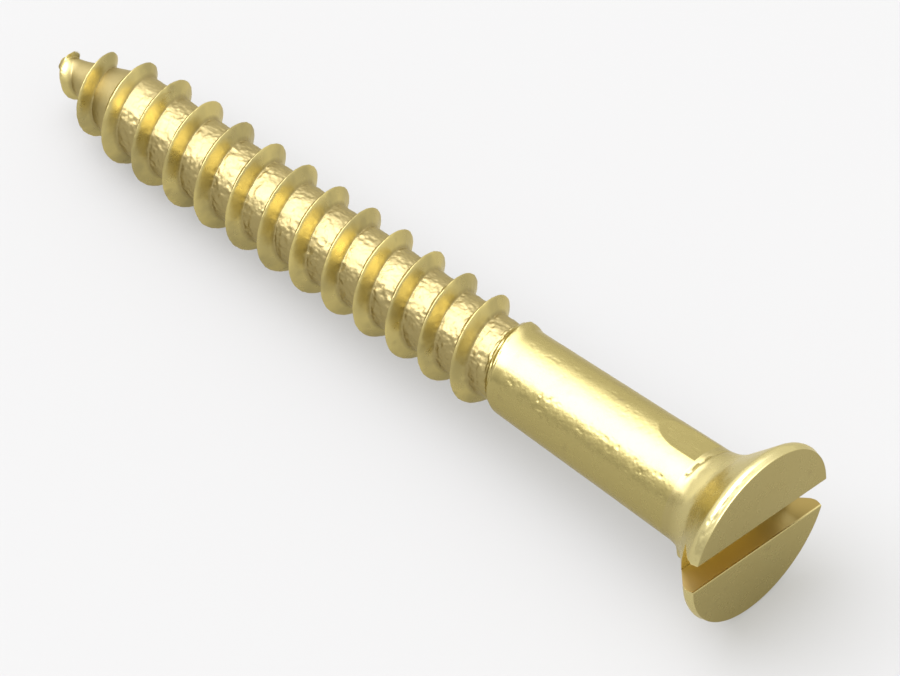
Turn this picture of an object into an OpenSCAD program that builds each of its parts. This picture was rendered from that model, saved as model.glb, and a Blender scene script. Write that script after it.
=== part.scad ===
// Slotted countersunk wood screw, 1 1/2 in long with a right-hand thread, lying on its side.
// The screw's axis is X: the flat face of the head is at x = 0 and the tip is at x = -screw_len.
// A depth is always measured from the flat face towards the tip, so x = -depth.
// The screw is one piece of brass. It is drawn as four regions that meet face to face.

/* [Whole screw] */
// Length from the flat of the head to the tip
screw_len = 38.1; // [36:0.1:50]
// Depth at which the plain shank ends and the first groove of the thread starts
plain_len = 12.6; // [10:0.1:18]

/* [Head] */
// Diameter of the flat face
head_d = 8.1; // [7.6:0.1:9.4]
// Height of the short cylindrical rim round the flat face
rim_h = 0.5; // [0.3:0.05:0.8]
// Included angle of the countersink
sink_angle = 90; // [80:1:100]
// Radius of the fillet between the countersink and the shank
fillet_r = 2.2; // [0.5:0.1:2.5]

/* [Driver slot] */
// Width of the slot
slot_w = 1.4; // [1:0.05:2]
// Depth of the slot
slot_h = 1.25; // [0.8:0.05:1.6]
// Angle of the slot about the screw's axis, from +Y towards +Z
slot_angle = -9; // [-90:1:90]

/* [Shank] */
// Diameter of the shank under the head
shank_head_d = 4.25; // [4:0.05:4.8]
// Diameter of the shank where the thread starts
shank_thread_d = 3.75; // [3.5:0.05:4.2]

/* [Thread] */
// Distance from one turn of the thread to the next
pitch = 1.775; // [1.6:0.005:2.2]
// Diameter over the crests
crest_d = 4.5; // [4.3:0.05:5.2]
// Diameter at the roots
root_d = 3.25; // [2.8:0.05:3.5]
// Width of the thread's head-facing flank, as a share of the pitch
head_flank = 0.25; // [0.25:0.05:0.45]
// Width of its tip-facing flank, as a share of the pitch
tip_flank = 0.25; // [0.2:0.05:0.4]
// Length of the run-out, in which the crest rises out of the shank
runout_len = 0.9; // [0.4:0.1:3]
// Length of the slope from the shank down to the first groove
slope_len = 0.3; // [0.2:0.05:0.6]
// Angle about the axis, from +Y towards +Z, at which the first groove starts
start_angle = -135; // [-180:1:180]
// Share of a turn in which the end of the shank keeps to the helix, before it steps back
start_turn = 0.5; // [0.3:0.05:0.8]

/* [Point] */
// Length of the point, over which the crests come down
point_len = 5.4; // [4:0.1:7]
// Length of the end of it over which the roots come down too
taper_len = 3.5; // [3:0.1:6]
// Diameter of the blunt tip
tip_d = 0.8; // [0.3:0.05:1.4]

/* [Hidden] */
$fn = 96;

// How far the cutter of the slot passes the head
OVER = 1;

// The countersink meets the shank in a fillet whose arc touches both.
head_r = head_d / 2;
shank_r = shank_head_d / 2;
half_angle = sink_angle / 2;
cone_end = rim_h + (head_r - shank_r) / tan(half_angle);
fillet_reach = fillet_r * tan(half_angle / 2);
head_len = cone_end + fillet_reach;

// A pitch, like a turn, has STEPS mesh steps, so that turns and cut ends line up exactly.
// The mesh has ROWS rows across the tooth of the thread, and none on the plain root.
STEPS = 40;
CREST = 20;
ROWS = 9;
FIRST_ROW = CREST - round(head_flank * STEPS);
LAST_ROW = CREST + round(tip_flank * STEPS);
ROUNDNESS = 1.2;
function row_step(row) = FIRST_ROW + round((LAST_ROW - FIRST_ROW) * (row % ROWS) / (ROWS - 1));

// Share of the thread's height at a step across it: a rounded tooth with two unequal flanks
function share(step) =
    let (flank = step < CREST ? CREST - FIRST_ROW : LAST_ROW - CREST)
    let (away = min(1, abs(step - CREST) / flank))
    pow(cos(90 * pow(away, ROUNDNESS)), 2);

// The thread has a whole number of mesh steps. A level is a depth in those steps.
tip_level = round((screw_len - plain_len) / pitch * STEPS);
point_level = round((screw_len - plain_len - point_len) / pitch * STEPS);
function depth(level) = plain_len + (screw_len - plain_len) * level / tip_level;

// 0 at a, 1 at b, and a smooth rise between them
function ramp(a, b, x) = let (t = min(1, max(0, (x - a) / (b - a)))) t * t * (3 - 2 * t);

// Share of a taper that is still ahead: 1 all along the parallel thread, 0 at the tip
function ahead(d, length) = min(1, max(0, (screw_len - d) / length));

// Depth at which the shank ends in a column: along the helix, then smoothly back to its start
function start_depth(column) =
    let (turn = ((column - CREST) / STEPS + start_turn + 1) % 1)
    let (left = turn < start_turn ? 1 - turn / start_turn : ramp(start_turn, 1, turn))
    plain_len + pitch * start_turn * left;

// Radius at the roots: the shank's at the start, then parallel, then a straight taper
function root_r(d, start) =
    let (parallel = shank_thread_d + (root_d - shank_thread_d) * ramp(start, start + slope_len, d))
    (tip_d + (parallel - tip_d) * ahead(d, taper_len)) / 2;

// Height of the crest above the roots: a smooth rise, then parallel, then an elliptical nose
function thread_h(d, start) =
    let (past = 1 - ahead(d, point_len))
    let (crest_r = crest_d / 2 * sqrt(1 - past * past))
    max(0, crest_r - root_r(d, start)) * ramp(start, start + runout_len, d);

// Point at a level and a column, a step of angle, for a share of the thread's height
function thread_point(level, column, part) =
    let (d = depth(level))
    let (start = start_depth(column))
    let (angle = start_angle + 360 * (column - CREST) / STEPS)
    let (r = root_r(d, start) + thread_h(d, start) * part)
    [-d, r * cos(angle), r * sin(angle)];

// A right-hand thread: one row of the mesh comes a pitch nearer to the head in every turn.
function row_level(row, column) = STEPS * (floor(row / ROWS) - 1) + row_step(row) - column;

// Ring in which a plane across the axis cuts the thread
function ring(level) = [
    for (column = [0:STEPS - 1])
        thread_point(level, column, share((level + column) % STEPS))
];

// Threaded solid between two levels. Its mesh winds round the axis with the thread, so its
// rows run along the crest and the roots. Rows beyond an end are replaced by that end's ring.
module threaded(from, to) {
    rows = ROWS * (ceil(to / STEPS) + 3);
    points = concat(
        ring(from),
        ring(to),
        [
            for (row = [0:rows - 1], column = [0:STEPS - 1])
                thread_point(min(to, max(from, row_level(row, column))), column, share(row_step(row)))
        ]
    );
    // Index of the point at a row and column. The column after a turn's last is in an earlier row.
    function index(row, column) =
        let (level = row_level(row, column))
        let (around = column % STEPS)
        let (grid_row = column < STEPS ? row : row - ROWS)
        level <= from ? around : level >= to ? STEPS + around : STEPS * (2 + grid_row) + around;
    triangles = [
        for (row = [0:rows - 2], column = [0:STEPS - 1])
            let (a = index(row, column))
            let (b = index(row, column + 1))
            let (c = index(row + 1, column + 1))
            let (d = index(row + 1, column))
            each [[a, b, c], [a, c, d]]
    ];
    sides = [for (t = triangles) if (t[0] != t[1] && t[1] != t[2] && t[2] != t[0]) t];
    head_end = [for (column = [STEPS - 1:-1:0]) column];
    tip_end = [for (column = [0:STEPS - 1]) STEPS + column];
    polyhedron(points, concat(sides, [head_end, tip_end]));
}

// Turns a profile of [radius, depth] about the screw's axis
module turned() {
    rotate([0, -90, 0]) rotate_extrude() children();
}

// Countersunk head: rim, cone and fillet, with a straight slot right across the flat face
module head() {
    color("goldenrod")
    difference() {
        turned() {
            polygon([
                [0, 0],
                [head_r, 0],
                [head_r, rim_h],
                [shank_r, cone_end],
                [shank_r, head_len],
                [0, head_len]
            ]);
            fillet_section();
        }
        rotate([slot_angle, 0, 0])
        translate([-slot_h, -head_r - OVER, -slot_w / 2])
        cube([slot_h + OVER, 2 * (head_r + OVER), slot_w]);
    }
}

// Section of the fillet: the corner between cone and shank, less a circle that touches both
module fillet_section() {
    centre = [shank_r + fillet_r, head_len];
    difference() {
        polygon([
            [shank_r, cone_end],
            [shank_r + fillet_reach * sin(half_angle), cone_end - fillet_reach * cos(half_angle)],
            centre,
            [shank_r, head_len]
        ]);
        translate(centre) circle(r = fillet_r);
    }
}

// Plain shank, a little thinner towards the thread
module shank() {
    color("darkkhaki")
    turned()
    polygon([
        [0, head_len],
        [shank_r, head_len],
        [shank_thread_d / 2, plain_len],
        [0, plain_len]
    ]);
}

// Run-out and parallel part of the thread
module threaded_section() {
    color("khaki") threaded(0, point_level);
}

// Gimlet point, where the same thread runs down to the tip
module gimlet_point() {
    color("gold") threaded(point_level, tip_level);
}

head();
shank();
threaded_section();
gimlet_point();
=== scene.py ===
"""Slotted countersunk brass wood screw: the looks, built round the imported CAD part."""

import math

import bpy
import numpy as np
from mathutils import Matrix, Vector


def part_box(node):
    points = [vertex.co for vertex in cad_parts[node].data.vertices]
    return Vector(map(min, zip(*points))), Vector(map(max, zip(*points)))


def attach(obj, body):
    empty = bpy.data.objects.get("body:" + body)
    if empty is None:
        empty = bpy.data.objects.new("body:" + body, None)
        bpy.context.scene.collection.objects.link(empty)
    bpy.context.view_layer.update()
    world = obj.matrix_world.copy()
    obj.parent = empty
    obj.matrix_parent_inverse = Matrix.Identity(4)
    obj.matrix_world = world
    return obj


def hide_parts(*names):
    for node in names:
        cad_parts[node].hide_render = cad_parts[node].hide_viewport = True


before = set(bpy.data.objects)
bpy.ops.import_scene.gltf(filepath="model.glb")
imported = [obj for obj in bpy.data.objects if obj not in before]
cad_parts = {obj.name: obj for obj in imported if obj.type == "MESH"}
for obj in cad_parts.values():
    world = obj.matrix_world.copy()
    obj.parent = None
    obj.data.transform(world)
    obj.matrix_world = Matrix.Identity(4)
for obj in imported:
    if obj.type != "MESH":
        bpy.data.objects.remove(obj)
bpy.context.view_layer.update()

MM = 0.001
TAU = 2 * math.pi


# ---------------------------------------------------------------- sizes, from the frame

def span(node):
    """Depths, in mm behind the head's flat face, at which a CAD node starts and ends."""
    low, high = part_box(node)
    return -high.x / MM, -low.x / MM


HEAD_LEN = span("head")[1]
PLAIN_LEN = span("shank")[1]
POINT_START, SCREW_LEN = span("gimlet_point")
HEAD_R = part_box("head")[1].z / MM

# Head: a rim that widens a little from the face, then bends into the cone, with a fillet under it
RIM_H = 0.5
FACE_IN = 0.07
FACE_BREAK = 0.01
FACE_STEP = 0.035
RIM_WIDEST = 0.27
RIM_ROUND = 0.5
CONE_ANGLE = math.pi / 4
FILLET_R = 2.2
SLOT_W = 1.4
SLOT_H = 1.25
SLOT_ROUND = 0.05
SLOT_ANGLE = math.radians(-9)

# Shank
SHANK_R0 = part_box("shank")[1].z / MM
SHANK_R1 = 1.875

# Thread: angles are about the screw's axis, from +Y towards +Z
CREST_R = 2.25
ROOT_R = 1.625
PITCH = 1.775
HEAD_FLANK = 0.22
TIP_FLANK = 0.22
FLANK_HOLLOW = 1.15
CREST_ROUND = 0.14
RUNOUT = 0.9
START_SLOPE = 0.5
START_ANGLE = math.radians(-135)
START_TURN = 0.5

# Point
TAPER_LEN = 3.5
POINT_LEN = 5.4
TIP_R = 0.4


# ---------------------------------------------------------------- noise

TABLE_SIZE = 4096
HASH = (73856093, 19349663, 83492791)


def noise(points, scale, seed):
    """Smooth noise from about -1 to 1, at points in mm, with features of about scale mm."""
    table = np.random.default_rng(seed).uniform(-1, 1, TABLE_SIZE)
    p = points / scale
    cell = np.floor(p).astype(np.int64)
    t = p - cell
    t = t * t * t * (t * (6 * t - 15) + 10)
    total = np.zeros(p.shape[:-1])
    for corner in range(8):
        step = np.array([corner & 1, corner >> 1 & 1, corner >> 2 & 1])
        c = cell + step
        key = (c[..., 0] * HASH[0]) ^ (c[..., 1] * HASH[1]) ^ (c[..., 2] * HASH[2])
        weight = np.prod(np.where(step, t, 1 - t), axis=-1)
        total += weight * table[key % TABLE_SIZE]
    return total


def fractal(points, scale, seed, octaves=3):
    """Noise with finer and weaker layers on top."""
    total = 0
    for k in range(octaves):
        total = total + noise(points, scale / 2**k, seed + k) / 2**k
    return total


def ramp(a, b, x):
    """0 at a, 1 at b, and a smooth rise between them."""
    t = np.clip((x - a) / (b - a), 0, 1)
    return t * t * (3 - 2 * t)


def bump(centre, width, x):
    """1 at the centre, 0 beyond the width on either side."""
    return 1 - ramp(0, 1, np.abs(x - centre) / width)


def around(angle):
    """An angle about the axis in degrees, from 0 to 360."""
    return np.degrees(angle) % 360


def turned_by(angle, degrees):
    """Degrees from a place about the axis to an angle in radians, from -180 to 180."""
    return (np.degrees(angle) - degrees + 180) % 360 - 180


def on_surface(depth, angle, r):
    """Points in mm at a radius, at which to read the noise."""
    return np.stack([depth, r * np.cos(angle), r * np.sin(angle)], axis=-1)


# ---------------------------------------------------------------- thread

def start_depth(angle):
    """Depth at which the shank ends: along the helix, then smoothly back."""
    turn = ((angle - START_ANGLE) / TAU + START_TURN) % 1.0
    left = np.where(turn < START_TURN, 1 - turn / START_TURN, ramp(START_TURN, 1, turn))
    return PLAIN_LEN + PITCH * START_TURN * left


def root_r(depth, start):
    """Radius at the roots: the shank's, then parallel, then a straight taper to the tip."""
    parallel = SHANK_R1 + (ROOT_R - SHANK_R1) * ramp(start, start + START_SLOPE, depth)
    ahead = np.clip((SCREW_LEN - depth) / TAPER_LEN, 0, 1)
    return TIP_R + (parallel - TIP_R) * ahead


def crest_r(depth):
    """Radius of the crests: an elliptical nose on the point."""
    past = 1 - np.clip((SCREW_LEN - depth) / POINT_LEN, 0, 1)
    return CREST_R * np.sqrt(1 - past * past)


def tooth(turn):
    """Share of the thread's height: slightly hollow flanks that meet in a narrow round crest."""
    away = (turn + 0.5) % 1.0 - 0.5
    away = np.abs(np.where(away < 0, away / HEAD_FLANK, away / TIP_FLANK))
    crest = np.sqrt(away**2 + CREST_ROUND**2) - CREST_ROUND
    return np.clip(1 - crest / (1 - CREST_ROUND), 0, 1) ** FLANK_HOLLOW


# Lip of the shank's end: it rises and falls over ranges of depth from the start of the groove
LIP_HEIGHT = 0.12
LIP_RISE = (-0.45, -0.1)
LIP_FALL = (0.34, -0.04)
LIP_ANGLE = 50
LIP_REACH = 50


def lip(depth, angle):
    """Height of the lip that the crest leaves as it runs out on the far side."""
    off = depth - start_depth(angle)
    side = bump(LIP_ANGLE, LIP_REACH, around(angle))
    return LIP_HEIGHT * ramp(*LIP_RISE, off) * ramp(*LIP_FALL, off) * side


# Torn end of the tip
TIP_REACH = 0.26
TIP_SLANT = 0.06
TIP_SLANT_ANGLE = math.radians(120)
TIP_RAGGED = 0.03
TORN_LEN = 0.7


def torn_tip(depth, angle):
    """Length that the broken tip reaches beyond its nominal end, more on one side."""
    slant = TIP_SLANT * np.cos(angle - TIP_SLANT_ANGLE)
    ragged = TIP_RAGGED * noise(on_surface(depth, angle, 1), scale=0.4, seed=301)
    return (TIP_REACH + slant + ragged) * ramp(SCREW_LEN - TORN_LEN, SCREW_LEN, depth)


# Fin at the tip, in mm and degrees
FIN_HEIGHT = 0.30
FIN_RAGGED = 0.06
FIN_ANGLE = 48
FIN_REACH = 80
FIN_SETBACK = 0.2
FIN_WIDTH = 0.06
FIN_BEND = 0.03


def fin(depth, angle):
    """Height of the thin fin of torn metal that stands up at the broken tip."""
    at = on_surface(depth, angle, 1)
    height = FIN_HEIGHT + FIN_RAGGED * noise(at, scale=0.3, seed=311)
    height = height * bump(FIN_ANGLE, FIN_REACH, around(angle))
    bent = depth + FIN_BEND * noise(at, scale=0.4, seed=321)
    return height * bump(SCREW_LEN - FIN_SETBACK, FIN_WIDTH, bent)


# Torn roots: the tearing fades in at the start of the groove and fades out on the point
TORN_FROM = (-0.1, 0.2)
TORN_UNTIL = (2.5, 5.5)
RIDGE_HEIGHT = 0.024
RIDGE_MIDDLE = 0.6
PIT_HEIGHT = 0.016
NICK_HEIGHT = 0.012
NICKS_FROM = 0.1


def torn_roots(depth, at, start, share):
    """Height of the torn metal at the bottom of the groove."""
    groove = ramp(start + TORN_FROM[0], start + TORN_FROM[1], depth)
    groove = groove * ramp(SCREW_LEN - TORN_UNTIL[0], SCREW_LEN - TORN_UNTIL[1], depth)
    ridges = 1 - np.abs(fractal(at, scale=0.40, seed=11, octaves=2))
    pits = fractal(at, scale=0.16, seed=31, octaves=2)
    return (RIDGE_HEIGHT * (ridges - RIDGE_MIDDLE) + PIT_HEIGHT * pits) * ((1 - share) ** 2 * groove)


def nicks(depth, at, start, share):
    """Height of the fine nicks in the crests."""
    rough = NICK_HEIGHT * fractal(at, scale=0.16, seed=51, octaves=2)
    return rough * share**3 * ramp(0, NICKS_FROM, depth - start)


# Seam where the shank's end is folded over the groove: (depth from the start, width, height share)
SEAM_FOLDS = ((0.08, 0.1, 1.0), (0.28, 0.09, 0.8), (0.46, 0.09, 0.6))
SEAM_HEIGHT = 0.05
SEAM_BEND = 0.08
SEAM_UNEVEN = 0.8
SEAM_ANGLE = 95
SEAM_REACH = 75
SEAM_END = 0.4


def seam(depth, angle, at, start):
    """Height of the folds of the seam, which fade at both ends."""
    folded_at = depth - start + SEAM_BEND * noise(at, scale=0.45, seed=71)
    folds = sum(height * bump(centre, width, folded_at) for centre, width, height in SEAM_FOLDS)
    uneven = SEAM_UNEVEN + SEAM_UNEVEN * noise(at, scale=0.25, seed=81)
    ends = ramp(0, SEAM_END, 1 - np.abs(turned_by(angle, SEAM_ANGLE)) / SEAM_REACH)
    return SEAM_HEIGHT * folds * uneven * ends


THREAD_NOISE_R = 1.6
END_ROUND = 0.2
END_ROUND_LEN = 0.35


def thread_r(depth, angle):
    """Radius of the threaded part, with torn roots and a folded seam where the shank ends."""
    start = start_depth(angle)
    root = root_r(depth, start)
    share = tooth((depth - PLAIN_LEN) / PITCH + (angle - START_ANGLE) / TAU)
    height = np.maximum(0, crest_r(depth) - root) * ramp(start, start + RUNOUT, depth)
    at = on_surface(depth, angle, THREAD_NOISE_R)
    r = root + height * share + torn_roots(depth, at, start, share) + nicks(depth, at, start, share)
    r = r + lip(depth, angle) + seam(depth, angle, at, start) + fin(depth, angle)
    return r * (1 - END_ROUND * ramp(SCREW_LEN - END_ROUND_LEN, SCREW_LEN, depth) ** 2)


# ---------------------------------------------------------------- shank and head

# Flat left by the machine's grip: it starts with a step, and runs out towards the thread
GRIP_ANGLE = 73
GRIP_REACH = 0.7
GRIP_FROM = 3.22
GRIP_STEP = (-0.05, 0.12)
GRIP_CUT = 0.165
GRIP_RISE_FROM = 4.3
GRIP_RISE = 0.0725


def grip_flat(depth, angle, r):
    """The radius with the grip's flat, near the head."""
    cut = np.maximum(0, GRIP_CUT - GRIP_RISE * np.maximum(0, depth - GRIP_RISE_FROM) ** 2)
    cut = cut * ramp(GRIP_FROM + GRIP_STEP[0], GRIP_FROM + GRIP_STEP[1], depth)
    off = np.radians(turned_by(angle, GRIP_ANGLE))
    plane = (r - cut) / np.cos(np.clip(off, -GRIP_REACH, GRIP_REACH))
    return np.where(np.abs(off) < GRIP_REACH, np.minimum(r, plane), r)


# Marks of the drawn wire, strongest on one side
SHANK_NOISE_R = 2.0
MARKED_ANGLE = 155
MARKED_REACH = 45
MARKED_LEAST = 0.4
DENT_DEPTH = 0.022
DENT_FROM = 0.35
WAVE_HEIGHT = 0.004
WAVE_STRETCH = np.array([0.4, 1, 1])
GRAIN_HEIGHT = 0.004
MARKS_FADE = 0.3


def marks(depth, angle):
    """Small dents, long waves and the fine grain of the drawn wire."""
    at = on_surface(depth, angle, SHANK_NOISE_R)
    side = MARKED_LEAST + (1 - MARKED_LEAST) * bump(MARKED_ANGLE, MARKED_REACH, around(angle))
    dents = np.maximum(0, fractal(at, scale=0.22, seed=131, octaves=2) - DENT_FROM) * side
    waves = noise(at * WAVE_STRETCH, scale=0.9, seed=141)
    grain = fractal(at, scale=0.11, seed=151, octaves=2)
    return -DENT_DEPTH * dents + WAVE_HEIGHT * waves + GRAIN_HEIGHT * grain * side


def shank_r(depth, angle):
    """Radius of the plain shank."""
    share = np.clip((depth - HEAD_LEN) / (PLAIN_LEN - HEAD_LEN), 0, 1)
    r = grip_flat(depth, angle, SHANK_R0 + (SHANK_R1 - SHANK_R0) * share)
    fade = ramp(HEAD_LEN, HEAD_LEN + MARKS_FADE, depth) * ramp(PLAIN_LEN, PLAIN_LEN - MARKS_FADE, depth)
    return r + marks(depth, angle) * fade + lip(depth, angle)


# Rows of the head's mesh on each stretch of its side
RIM_ROWS = 8
BEND_ROWS = 12
CONE_ROWS = 13
FILLET_ROWS = 24


def head_profile():
    """Rows of [depth, radius] down the head's side: face edge, rim, bend, cone and fillet."""
    face_r = HEAD_R - FACE_IN
    rows = [[0, face_r - 3 * FACE_BREAK], [0, face_r - FACE_BREAK], [FACE_BREAK, face_r]]
    rows.append([FACE_STEP, face_r + 0.3 * FACE_BREAK])
    for k in range(1, RIM_ROWS + 1):
        part = k / RIM_ROWS
        rows.append([FACE_STEP + (RIM_WIDEST - FACE_STEP) * part, HEAD_R - FACE_IN * (1 - part)])
    bend_start = RIM_H - RIM_ROUND * math.tan(CONE_ANGLE / 2)
    for k in range(BEND_ROWS + 1):
        a = CONE_ANGLE * k / BEND_ROWS
        rows.append([bend_start + RIM_ROUND * math.sin(a), HEAD_R - RIM_ROUND * (1 - math.cos(a))])
    reach = FILLET_R * math.tan(CONE_ANGLE / 2)
    cone_end = HEAD_LEN - reach - reach * math.cos(CONE_ANGLE)
    for depth in np.linspace(rows[-1][0], cone_end, CONE_ROWS + 1)[1:]:
        rows.append([depth, HEAD_R - (depth - RIM_H)])
    for k in range(1, FILLET_ROWS + 1):
        a = CONE_ANGLE * (1 - k / FILLET_ROWS)
        rows.append([HEAD_LEN - FILLET_R * math.sin(a), SHANK_R0 + FILLET_R * (1 - math.cos(a))])
    return np.array(rows)


HEAD_ROWS = head_profile()


# Fine wear all over the head's side
WEAR_HEIGHT = 0.006
WEAR_GRAIN = 0.004
WORN_FROM = (0.02, 0.3)
WORN_UNTIL = 0.2

# Crease beside the grip's flat: it leans, and its ends fade
CREASE_DEPTH = 0.05
CREASE_WIDTH = 0.08
CREASE_BEFORE = 0.28
CREASE_LEAN = 0.004
CREASE_ANGLE = 85
CREASE_REACH = (38, 26)

# Burr low on the cone
BURR_HEIGHT = 0.16
BURR_AT = 2.35
BURR_WIDTH = 0.3
BURR_ANGLE = 207
BURR_REACH = 11

# Torn and pitted stretches of the rim
TORN_RIM_HEIGHT = 0.022
TORN_RIM_AT = 0.3
TORN_RIM_WIDTH = 0.28
TORN_RIM_ANGLE = 145
TORN_RIM_REACH = 60
RIM_PIT_DEPTH = 0.12
RIM_PIT_FROM = 0.2
RIM_PITS_ANGLE = 168
RIM_PITS_REACH = 22
RIM_PITS_END = (1.1, 0.5)


def head_r(depth, angle, r):
    """Radius of the head's side, with its wear, its crease, its torn rim and a burr on its cone."""
    at = on_surface(depth, angle, r)
    side = ramp(*WORN_FROM, depth) * ramp(HEAD_LEN, HEAD_LEN - WORN_UNTIL, depth)
    wear = WEAR_HEIGHT * noise(at, scale=0.5, seed=201)
    wear = wear + WEAR_GRAIN * fractal(at, scale=0.2, seed=211, octaves=2)
    off = turned_by(angle, CREASE_ANGLE)
    crease_at = depth - (HEAD_LEN - CREASE_BEFORE + CREASE_LEAN * off)
    crease = -CREASE_DEPTH * bump(0, CREASE_WIDTH, crease_at) * ramp(*CREASE_REACH, np.abs(off))
    burr = BURR_HEIGHT * bump(BURR_AT, BURR_WIDTH, depth)
    burr = burr * bump(0, BURR_REACH, turned_by(angle, BURR_ANGLE))
    torn = TORN_RIM_HEIGHT * fractal(at, scale=0.14, seed=231, octaves=2)
    torn = torn * bump(TORN_RIM_AT, TORN_RIM_WIDTH, depth)
    torn = torn * bump(0, TORN_RIM_REACH, turned_by(angle, TORN_RIM_ANGLE))
    pits = np.maximum(0, noise(at, scale=0.16, seed=221) - RIM_PIT_FROM)
    pits = pits * bump(0, RIM_PITS_REACH, turned_by(angle, RIM_PITS_ANGLE)) * ramp(*RIM_PITS_END, depth)
    return r + wear * side + crease + burr + torn - RIM_PIT_DEPTH * pits * side


def place(depth, angle, r):
    """Points in metres from depth, angle about the axis and radius in mm."""
    return np.stack([-depth, r * np.cos(angle), r * np.sin(angle)], axis=-1) * MM


# ---------------------------------------------------------------- meshes

# The thread's mesh has STEPS columns a turn. Its rows run along the thread: first the flank that
# faces the tip, then the root, then the flank that faces the head.
STEPS = 288
TIP_FLANK_ROWS = 13
ROOT_ROWS = 27
HEAD_FLANK_ROWS = 17
SPARE_TURNS = 3
ROW_AT = np.concatenate([
    np.linspace(0, TIP_FLANK, TIP_FLANK_ROWS),
    np.linspace(TIP_FLANK, 1 - HEAD_FLANK, ROOT_ROWS),
    np.linspace(1 - HEAD_FLANK, 1, HEAD_FLANK_ROWS)[:-1],
])
ROW_LEVELS = np.unique(np.round(ROW_AT * STEPS).astype(int))
ROWS = len(ROW_LEVELS)


def make_mesh(name, points, faces, sharp_angle=60):
    """A smooth-shaded object from points in metres and faces."""
    mesh = bpy.data.meshes.new(name)
    mesh.from_pydata(points, [], faces)
    mesh.validate()
    mesh.polygons.foreach_set("use_smooth", [True] * len(mesh.polygons))
    mesh.set_sharp_from_angle(angle=math.radians(sharp_angle))
    obj = bpy.data.objects.new(name, mesh)
    bpy.context.scene.collection.objects.link(obj)
    return obj


def threaded(name, start, end):
    """A closed threaded solid whose rows wind round the axis with the thread."""
    step = PITCH / STEPS
    first = round((start - PLAIN_LEN) / step)
    last = round((end - PLAIN_LEN) / step)
    stretch = (end - start) / (last - first)
    columns = np.arange(STEPS)
    angles = START_ANGLE + TAU * columns / STEPS
    rows = np.arange((math.ceil((last - first) / STEPS) + SPARE_TURNS) * ROWS)
    base = (first // STEPS - 1) * STEPS
    level = base + (rows // ROWS * STEPS + ROW_LEVELS[rows % ROWS])[:, None] - columns[None, :]
    clamped = np.clip(level, first, last)
    depth = start + (clamped - first) * stretch
    angle = np.broadcast_to(angles, depth.shape)
    grid = place(depth + torn_tip(depth, angle), angle, thread_r(depth, angle))
    ends = []
    for at in (start, end):
        ring = np.full(STEPS, at)
        ends.append(place(ring + torn_tip(ring, angles), angles, thread_r(ring, angles)))
    centres = place(np.array([start, end]), np.zeros(2), np.zeros(2))
    points = np.concatenate([ends[0], ends[1], centres, grid.reshape(-1, 3)])
    index = 2 * STEPS + 2 + np.arange(grid.shape[0])[:, None] * STEPS + columns[None, :]
    index = np.where(level <= first, columns, index)
    index = np.where(level >= last, STEPS + columns, index)
    wrapped = np.concatenate([np.zeros((ROWS, 1), int), index[:-ROWS, :1]])
    index = np.concatenate([index, wrapped], axis=1)
    corners = (index[:-1, :-1], index[1:, :-1], index[1:, 1:], index[:-1, 1:])
    faces = []
    for quad in np.stack(corners, axis=-1).reshape(-1, 4).tolist():
        kept = [quad[k] for k in range(4) if quad[k] != quad[k - 1]]
        if len(kept) > 2:
            faces.append(kept)
    for k in range(STEPS):
        after = (k + 1) % STEPS
        faces.append([2 * STEPS, k, after])
        faces.append([2 * STEPS + 1, STEPS + after, STEPS + k])
    used = np.unique(np.concatenate([np.array(face) for face in faces]))
    renumbered = np.zeros(len(points), int)
    renumbered[used] = np.arange(len(used))
    faces = [renumbered[face].tolist() for face in faces]
    return make_mesh(name, points[used], faces)


def turned(name, rings):
    """A closed solid through rings of points in metres, from the head's side to the tip's."""
    count, columns = rings.shape[:2]
    centres = rings[[0, -1]].mean(axis=1)
    points = np.concatenate([rings.reshape(-1, 3), centres])
    faces = []
    for row in range(count - 1):
        for k in range(columns):
            a, b = row * columns + k, row * columns + (k + 1) % columns
            faces.append([a, a + columns, b + columns, b])
    for k in range(columns):
        after = (k + 1) % columns
        faces.append([count * columns, k, after])
        faces.append([count * columns + 1, (count - 1) * columns + after, (count - 1) * columns + k])
    return make_mesh(name, points, faces)


SHANK_COLUMNS = 384
SHANK_ROWS = 260
HEAD_COLUMNS = 288


def make_shank():
    """The plain shank."""
    angles = START_ANGLE + TAU * np.arange(SHANK_COLUMNS) / SHANK_COLUMNS
    depth, angle = np.meshgrid(np.linspace(HEAD_LEN, PLAIN_LEN, SHANK_ROWS), angles, indexing="ij")
    return turned("shank_brass", place(depth, angle, shank_r(depth, angle)))


# The cutter reaches past the head at both ends of the slot, and stands above the flat face
CUTTER_REACH = 6
CUTTER_TOP = 1
SLOT_LIP_STEPS = 5


def slot_cutter():
    """The saw's cut across the face, with lips rounded outwards."""
    section = [[-SLOT_H, SLOT_W / 2]]
    for k in range(SLOT_LIP_STEPS + 1):
        a = math.pi / 2 * k / SLOT_LIP_STEPS
        section.append([SLOT_ROUND * (math.sin(a) - 1), SLOT_W / 2 + SLOT_ROUND * (1 - math.cos(a))])
    section.append([CUTTER_TOP, SLOT_W / 2 + SLOT_ROUND])
    section = section + [[x, -z] for x, z in reversed(section)]
    count = len(section)
    points = []
    for y in (-CUTTER_REACH, CUTTER_REACH):
        for x, z in section:
            points.append([x, y * math.cos(SLOT_ANGLE) - z * math.sin(SLOT_ANGLE),
                           y * math.sin(SLOT_ANGLE) + z * math.cos(SLOT_ANGLE)])
    sides = [[(k + 1) % count, (k + 1) % count + count, k + count, k] for k in range(count)]
    faces = sides + [list(range(count - 1, -1, -1)), list(range(count, 2 * count))]
    return make_mesh("cutter", np.array(points) * MM, faces)


# A face is flat if its normal points this nearly along the axis or across the slot
ALONG = 0.9999
HEAD_SHARP_ANGLE = 40


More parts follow.
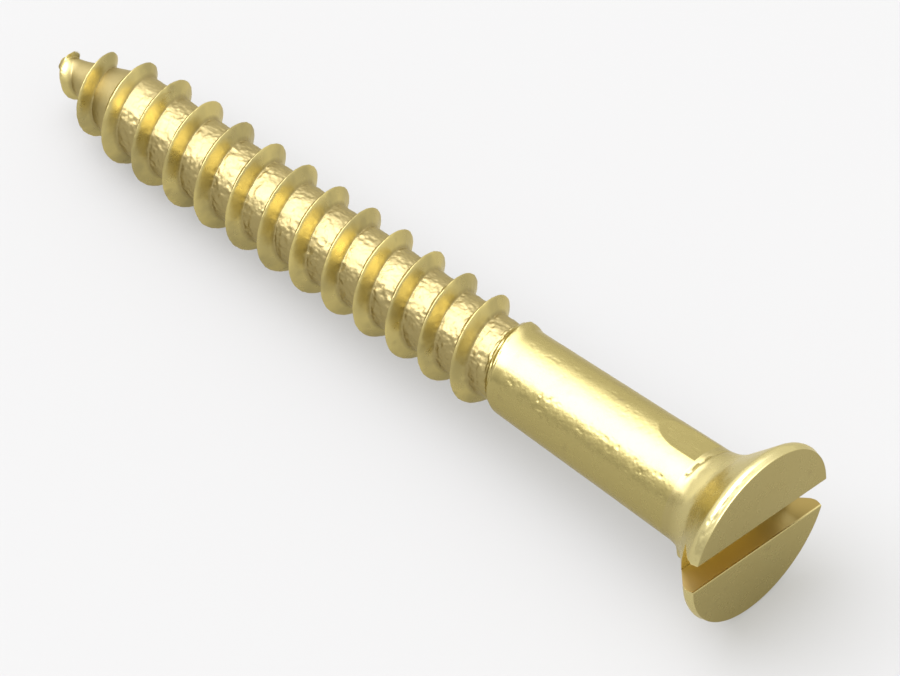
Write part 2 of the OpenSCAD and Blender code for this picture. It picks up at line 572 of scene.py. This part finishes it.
def make_head():
    """The head, with its slot cut and its flat faces left flat-shaded."""
    angles = TAU * np.arange(HEAD_COLUMNS) / HEAD_COLUMNS
    depth, angle = np.meshgrid(HEAD_ROWS[:, 0], angles, indexing="ij")
    nominal = np.broadcast_to(HEAD_ROWS[:, 1:], depth.shape)
    head = turned("head_brass", place(depth, angle, head_r(depth, angle, nominal)))
    cutter = slot_cutter()
    cut = head.modifiers.new("slot", "BOOLEAN")
    cut.operation = "DIFFERENCE"
    cut.object = cutter
    cut.solver = "EXACT"
    bpy.context.view_layer.update()
    evaluated = head.evaluated_get(bpy.context.evaluated_depsgraph_get())
    cut_mesh = bpy.data.meshes.new_from_object(evaluated)
    head.modifiers.clear()
    head.data = cut_mesh
    bpy.data.objects.remove(cutter)
    across = Vector((0, -math.sin(SLOT_ANGLE), math.cos(SLOT_ANGLE)))
    for face in cut_mesh.polygons:
        flat = abs(face.normal.x) > ALONG or abs(face.normal.dot(across)) > ALONG
        face.use_smooth = not flat
    cut_mesh.set_sharp_from_angle(angle=math.radians(HEAD_SHARP_ANGLE))
    cut_mesh.materials.clear()
    return head


head = make_head()
shank = make_shank()
thread = threaded("thread_brass", PLAIN_LEN, POINT_START)
point = threaded("point_brass", POINT_START, SCREW_LEN)


# ---------------------------------------------------------------- materials

PER_MM = 1 / MM


class Nodes:
    """Shorthand for a material's nodes. Each method makes a node and gives back its output."""

    def __init__(self, name):
        self.material = bpy.data.materials.new(name)
        self.material.use_nodes = True
        self.tree = self.material.node_tree
        self.shader = self.tree.nodes["Principled BSDF"]
        self.place = self.tree.nodes.new("ShaderNodeTexCoord").outputs["Object"]

    def link(self, source, target):
        self.tree.links.new(source, target)

    def noise(self, size, detail=3.0, roughness=0.5):
        """Noise with features of a size in mm."""
        node = self.tree.nodes.new("ShaderNodeTexNoise")
        node.inputs["Scale"].default_value = PER_MM / size
        node.inputs["Detail"].default_value = detail
        node.inputs["Roughness"].default_value = roughness
        self.link(self.place, node.inputs["Vector"])
        return node.outputs["Fac"]

    def remap(self, source, from_low, from_high, to_low, to_high):
        """A straight slope between two levels, and level beyond them."""
        node = self.tree.nodes.new("ShaderNodeMapRange")
        limits = {"From Min": from_low, "From Max": from_high, "To Min": to_low, "To Max": to_high}
        for name, value in limits.items():
            node.inputs[name].default_value = value
        self.link(source, node.inputs["Value"])
        return node.outputs["Result"]

    def mix(self, share, first, second):
        """A colour from the first to the second; each is a tuple or another node's output."""
        node = self.tree.nodes.new("ShaderNodeMix")
        node.data_type = "RGBA"
        self.link(share, node.inputs["Factor"])
        for socket, value in ((node.inputs["A"], first), (node.inputs["B"], second)):
            if isinstance(value, tuple):
                socket.default_value = (*value, 1)
            else:
                self.link(value, socket)
        return node.outputs["Result"]

    def maths(self, operation, *sources):
        node = self.tree.nodes.new("ShaderNodeMath")
        node.operation = operation
        for socket, source in zip(node.inputs, sources):
            self.link(source, socket)
        return node.outputs[0]

    def split(self, vector):
        """The X, Y and Z of a vector."""
        node = self.tree.nodes.new("ShaderNodeSeparateXYZ")
        self.link(vector, node.inputs["Vector"])
        return node.outputs["X"], node.outputs["Y"], node.outputs["Z"]

    def in_the_roots(self, within, without):
        """One value in the thread's roots, another above them, by height over the tapering root."""
        flattened = self.tree.nodes.new("ShaderNodeVectorMath")
        flattened.operation = "MULTIPLY"
        flattened.inputs[1].default_value = (0, 1, 1)
        self.link(self.place, flattened.inputs[0])
        distance = self.tree.nodes.new("ShaderNodeVectorMath")
        distance.operation = "LENGTH"
        self.link(flattened.outputs[0], distance.inputs[0])
        x, _, _ = self.split(self.place)
        taper = (-SCREW_LEN * MM, (TAPER_LEN - SCREW_LEN) * MM)
        root = self.remap(x, *taper, TIP_R * MM, ROOT_R * MM)
        height = self.maths("SUBTRACT", distance.outputs["Value"], root)
        return self.remap(height, ROOT_EDGE[0] * MM, ROOT_EDGE[1] * MM, within, without)

    def near_the_shank(self, within, without):
        """One value where the thread begins at the plain shank, another further down it."""
        x, _, _ = self.split(self.place)
        fade = (-(PLAIN_LEN + SHANK_FADE[1]) * MM, -(PLAIN_LEN + SHANK_FADE[0]) * MM)
        return self.remap(x, *fade, without, within)

    def in_the_slot(self):
        """Two shares: 1 on the walls of the sawn slot, and 1 on their ends at the far side, where
        painted shade darkens them.
        """
        turned_back = self.tree.nodes.new("ShaderNodeVectorRotate")
        turned_back.rotation_type = "X_AXIS"
        turned_back.inputs["Angle"].default_value = -SLOT_ANGLE
        self.link(self.place, turned_back.inputs["Vector"])
        x, y, z = self.split(turned_back.outputs["Vector"])
        wall = SLOT_W / 2
        within = ((wall + SAWN_EDGE[0]) * MM, (wall + SAWN_EDGE[1]) * MM)
        beside = self.remap(self.maths("ABSOLUTE", z), *within, 1, 0)
        sunk = self.remap(x, SUNK_EDGE[0] * MM, SUNK_EDGE[1] * MM, 1, 0)
        over_bed = ((BED_EDGE[0] - SLOT_H) * MM, (BED_EDGE[1] - SLOT_H) * MM)
        above_bed = self.remap(x, *over_bed, 0, 1)
        inside = self.maths("MULTIPLY", self.maths("MULTIPLY", beside, sunk), above_bed)
        # Painted shade: this share rises along the slot towards its far end
        end = self.remap(y, SLOT_SHADE_RAMP[0] * MM, SLOT_SHADE_RAMP[1] * MM, 0, 1)
        return inside, self.maths("MULTIPLY", inside, end)

    def on_the_cone(self):
        """1 on the head's rim and cone, and 0 on its flat face and at the end of its fillet."""
        x, _, _ = self.split(self.place)
        behind_face = self.remap(x, FACE_EDGE[0] * MM, FACE_EDGE[1] * MM, 1, 0)
        fade = ((CONE_FADE[0] - HEAD_LEN) * MM, (CONE_FADE[1] - HEAD_LEN) * MM)
        before_shank = self.remap(x, *fade, 0, 1)
        return self.maths("MULTIPLY", behind_face, before_shank)

    def bump(self, heights):
        """Bumps from (height source, distance in mm) pairs."""
        normal = None
        for source, distance in heights:
            node = self.tree.nodes.new("ShaderNodeBump")
            node.inputs["Distance"].default_value = distance * MM
            self.link(source, node.inputs["Height"])
            if normal:
                self.link(normal, node.inputs["Normal"])
            normal = node.outputs["Normal"]
        self.link(normal, self.shader.inputs["Normal"])


# Tones of the brass: as headed, drawn, rolled and sawn, with painted shade in the thread's roots and at
# the slot's far end, and painted light in the sawn slot
BRASS_FACE = (0.401, 0.330, 0.133)
BRASS_CONE = (0.560, 0.480, 0.215)
BRASS_SHANK = (0.400, 0.330, 0.123)
BRASS_THREAD = (0.580, 0.478, 0.180)
# Painted shade: a darker tone for the thread's roots, where shade falls between the teeth
BRASS_ROOT_SHADE = (0.330, 0.262, 0.108)
# Slot walls: partly the cut metal's own lighter tone, partly painted light that lifts the shade in the
# slot
BRASS_SAWN_WITH_PAINTED_LIGHT = (0.800, 0.640, 0.262)
# Painted shade: a dark tone for the far ends of the slot walls
BRASS_SLOT_END_SHADE = (0.250, 0.180, 0.052)
BRASS_DULL = (0.405, 0.336, 0.138)
BRASS_STAIN = (0.290, 0.230, 0.100)
BRASS_EDGE = (0.92, 0.87, 0.70)

# Where one tone fades into the next, in mm: over the roots, past the shank, before the shank,
# behind the flat face, and beside the slot's walls, below the face, over the bed and along the slot,
# where the painted shade comes in
ROOT_EDGE = (0.02, 0.16)
SHANK_FADE = (0.1, 1.3)
CONE_FADE = (0.3, 1.3)
FACE_EDGE = (-0.04, -0.01)
SAWN_EDGE = (0.01, 0.03)
SUNK_EDGE = (-0.10, -0.03)
BED_EDGE = (0.005, 0.03)
SLOT_SHADE_RAMP = (1.7, 2.6)

# Sizes in mm of the patches of tone, stain and gloss, and of the two bumps
TONE_SIZE = 1.6
STAIN_SIZE = 0.9
GLOSS_SIZE = 0.7
GRAIN_SIZE = 0.35
PITTING_SIZE = 0.08

# Levels of the noise between which each of them changes
TONE_LEVEL = (0.35, 0.65)
STAIN_LEVEL = (0.70, 0.78)
GLOSS_LEVEL = (0.3, 0.7)
STAIN_MOST = 0.35
ROUGHNESS_SPREAD = (-0.05, 0.07)
SAWN_ROUGHNESS = 0.36
ROOT_ROUGHER = 0.09


def brass(name, tone, dull, roughness, stains, grain, pitting, root_shade=0.0, slotted=False):
    """Brass whose tone and gloss vary slowly, with stains, with painted shade in the thread's roots and
    painted light and shade in the slot when asked for, and with two fine bumps in mm.
    """
    nodes = Nodes(name)
    colour = nodes.mix(nodes.remap(nodes.noise(TONE_SIZE), *TONE_LEVEL, 0, 1), tone, dull)
    levels = (STAIN_LEVEL[0] - stains, STAIN_LEVEL[1] - stains)
    stain = nodes.remap(nodes.noise(STAIN_SIZE, detail=1.0), *levels, 0, STAIN_MOST)
    colour = nodes.mix(stain, colour, BRASS_STAIN)
    lowest, highest = (roughness + spread for spread in ROUGHNESS_SPREAD)
    gloss = nodes.noise(GLOSS_SIZE, detail=4.0, roughness=0.6)
    rough = nodes.remap(gloss, *GLOSS_LEVEL, lowest, highest)
    if root_shade:
        # Painted shade: the colour darkens in the thread's roots, where shade falls between the teeth
        colour = nodes.mix(nodes.in_the_roots(root_shade, 0), colour, BRASS_ROOT_SHADE)
        colour = nodes.mix(nodes.near_the_shank(1, 0), colour, BRASS_SHANK)
        rough = nodes.maths("ADD", rough, nodes.in_the_roots(ROOT_ROUGHER, 0))
        rough = nodes.maths("ADD", rough, nodes.near_the_shank(-ROOT_ROUGHER, 0))
    if slotted:
        sawn, slot_end_shade = nodes.in_the_slot()
        colour = nodes.mix(nodes.on_the_cone(), colour, BRASS_CONE)
        # The slot walls are lightened: partly sawn brass, partly painted light against the slot's shade
        colour = nodes.mix(sawn, colour, BRASS_SAWN_WITH_PAINTED_LIGHT)
        # Painted shade: the slot walls darken towards their far end
        colour = nodes.mix(slot_end_shade, colour, BRASS_SLOT_END_SHADE)
        rough = nodes.maths("MAXIMUM", rough, nodes.remap(sawn, 0, 1, 0, SAWN_ROUGHNESS))
    nodes.link(colour, nodes.shader.inputs["Base Color"])
    nodes.link(rough, nodes.shader.inputs["Roughness"])
    nodes.shader.inputs["Metallic"].default_value = 1.0
    nodes.shader.inputs["Specular Tint"].default_value = (*BRASS_EDGE, 1)
    nodes.bump([(nodes.noise(GRAIN_SIZE), grain), (nodes.noise(PITTING_SIZE, detail=2.0), pitting)])
    return nodes.material


def rolled_brass(name):
    """The brass of the thread, which the point shares, with painted shade in its roots."""
    bumps = {"grain": 0.004, "pitting": 0.0015}
    return brass(name, BRASS_THREAD, BRASS_DULL, roughness=0.30, stains=0.02, root_shade=0.9, **bumps)


def headed_brass(name):
    """The brass of the head, with its sawn slot."""
    bumps = {"grain": 0.002, "pitting": 0.0006}
    return brass(name, BRASS_FACE, BRASS_DULL, roughness=0.24, stains=0.0, slotted=True, **bumps)


def drawn_brass(name):
    """The brass of the shank, as the wire was drawn."""
    bumps = {"grain": 0.006, "pitting": 0.0015}
    return brass(name, BRASS_SHANK, BRASS_SHANK, roughness=0.25, stains=0.02, **bumps)


PIECES = (
    (head, "head", headed_brass("head_brass")),
    (shank, "shank", drawn_brass("shank_brass")),
    (thread, "threaded_section", rolled_brass("thread_brass")),
    (point, "gimlet_point", rolled_brass("point_brass")),
)
for obj, node, material in PIECES:
    obj.data.materials.append(material)
    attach(obj, "root")
    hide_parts(node)


# ---------------------------------------------------------------- camera

# Angles in degrees, lengths in mm. The middle of the view is AIM_RIGHT and AIM_UP of the origin.
AZIMUTH = math.radians(42.56)
ELEVATION = math.radians(47.74)
DISTANCE = 366.6
LENS = 370.56
SENSOR_WIDTH = 36
AIM_RIGHT = -12.28
AIM_UP = 7.84

right = np.array([math.cos(AZIMUTH), math.sin(AZIMUTH), 0])
level = math.cos(ELEVATION)
back = np.array([math.sin(AZIMUTH) * level, -math.cos(AZIMUTH) * level, math.sin(ELEVATION)])
up = np.cross(back, right)
camera = bpy.data.objects.new("camera", bpy.data.cameras.new("camera"))
camera.data.lens = LENS
camera.data.sensor_width = SENSOR_WIDTH
camera.data.clip_start = 0.01
camera.data.clip_end = 10
camera.location = (right * AIM_RIGHT + up * AIM_UP + back * DISTANCE) * MM
camera.rotation_euler = (math.pi / 2 - ELEVATION, 0, AZIMUTH)
bpy.context.scene.collection.objects.link(camera)
bpy.context.scene.camera = camera


# ---------------------------------------------------------------- floor

# The floor glows faintly, like a light table
FLOOR_HALF = 1500
FLOOR_GREY = (0.224, 0.217, 0.188)
FLOOR_GLOW = 0.34
FLOOR_ROUGHNESS = 0.9
SLOPE = (HEAD_R - CREST_R) / (POINT_START - RIM_H)


def make_floor():
    """A plain floor, sloped so that both the head's rim and the thread's crests touch it."""
    points = []
    for side_x, side_y in ((-1, -1), (1, -1), (1, 1), (-1, 1)):
        x = side_x * FLOOR_HALF
        points.append((x * MM, side_y * FLOOR_HALF * MM, (-HEAD_R - SLOPE * (x + RIM_H)) * MM))
    mesh = bpy.data.meshes.new("floor")
    mesh.from_pydata(points, [], [(0, 1, 2, 3)])
    material = bpy.data.materials.new("floor")
    material.use_nodes = True
    shader = material.node_tree.nodes["Principled BSDF"]
    shader.inputs["Base Color"].default_value = (*FLOOR_GREY, 1)
    shader.inputs["Roughness"].default_value = FLOOR_ROUGHNESS
    shader.inputs["Emission Color"].default_value = (1, 1, 1, 1)
    shader.inputs["Emission Strength"].default_value = FLOOR_GLOW
    mesh.materials.append(material)
    obj = bpy.data.objects.new("floor", mesh)
    bpy.context.scene.collection.objects.link(obj)
    return obj


make_floor()


# ---------------------------------------------------------------- light

# The light's edges: about the axis in degrees (0 far, 90 overhead, 180 near), and as the share of
# a direction that points along X
KEY_RADIANCE = 5.7
DAYLIGHT = (0.92, 0.96, 1.22)
KEY_FAR_EDGE = (26, 100)
KEY_NEAR_EDGE = (130, 146)
KEY_TIP_EDGE = (-0.84, -0.68)
KEY_HEAD_EDGE = (-0.1, 0.1)

# The walls: their own brightness, then slopes as (edge, edge, brightness, brightness)
WALL = 0.64
WALL_NEAR = (145, 182, 0.55, 0)
WALL_FAR = (-10, 32, 1.3, 2.3)
WALL_BEYOND_TIP = (-0.95, -0.8, 0.5, 0)


def studio():
    """A pale studio with one long soft light overhead, along the screw, and a bright far side."""
    world = bpy.data.worlds.new("studio")
    world.use_nodes = True
    tree = world.node_tree
    direction = tree.nodes.new("ShaderNodeTexCoord").outputs["Generated"]
    parts = tree.nodes.new("ShaderNodeSeparateXYZ")
    tree.links.new(direction, parts.inputs[0])

    def maths(operation, first, second=0.0):
        node = tree.nodes.new("ShaderNodeMath")
        node.operation = operation
        for socket, value in zip(node.inputs, (first, second)):
            if isinstance(value, (int, float)):
                socket.default_value = value
            else:
                tree.links.new(value, socket)
        return node.outputs[0]

    def slope(source, low, high, start, end):
        node = tree.nodes.new("ShaderNodeMapRange")
        node.interpolation_type = "SMOOTHSTEP"
        limits = {"From Min": low, "From Max": high, "To Min": start, "To Max": end}
        for name, value in limits.items():
            node.inputs[name].default_value = value
        tree.links.new(source, node.inputs["Value"])
        return node.outputs["Result"]

    def background(colour, strength):
        node = tree.nodes.new("ShaderNodeBackground")
        node.inputs["Color"].default_value = (*colour, 1)
        tree.links.new(strength, node.inputs["Strength"])
        return node.outputs[0]

    along = parts.outputs["X"]
    angle = maths("MULTIPLY", maths("ARCTAN2", parts.outputs["Z"], parts.outputs["Y"]), 180 / math.pi)
    key = maths("MULTIPLY", slope(angle, *KEY_FAR_EDGE, 0, 1), slope(angle, *KEY_NEAR_EDGE, 1, 0))
    key = maths("MULTIPLY", key, slope(along, *KEY_TIP_EDGE, 0, 1))
    key = maths("MULTIPLY", key, slope(along, *KEY_HEAD_EDGE, 1, 0))
    wall = maths("ADD", slope(angle, *WALL_NEAR), WALL)
    wall = maths("MINIMUM", wall, slope(angle, *WALL_FAR))
    wall = maths("ADD", wall, slope(along, *WALL_BEYOND_TIP))
    both = tree.nodes.new("ShaderNodeAddShader")
    tree.links.new(background((1, 1, 1), wall), both.inputs[0])
    tree.links.new(background(DAYLIGHT, maths("MULTIPLY", key, KEY_RADIANCE)), both.inputs[1])
    tree.links.new(both.outputs[0], tree.nodes["World Output"].inputs["Surface"])
    bpy.context.scene.world = world


studio()
bpy.context.scene.view_settings.view_transform = "Standard"
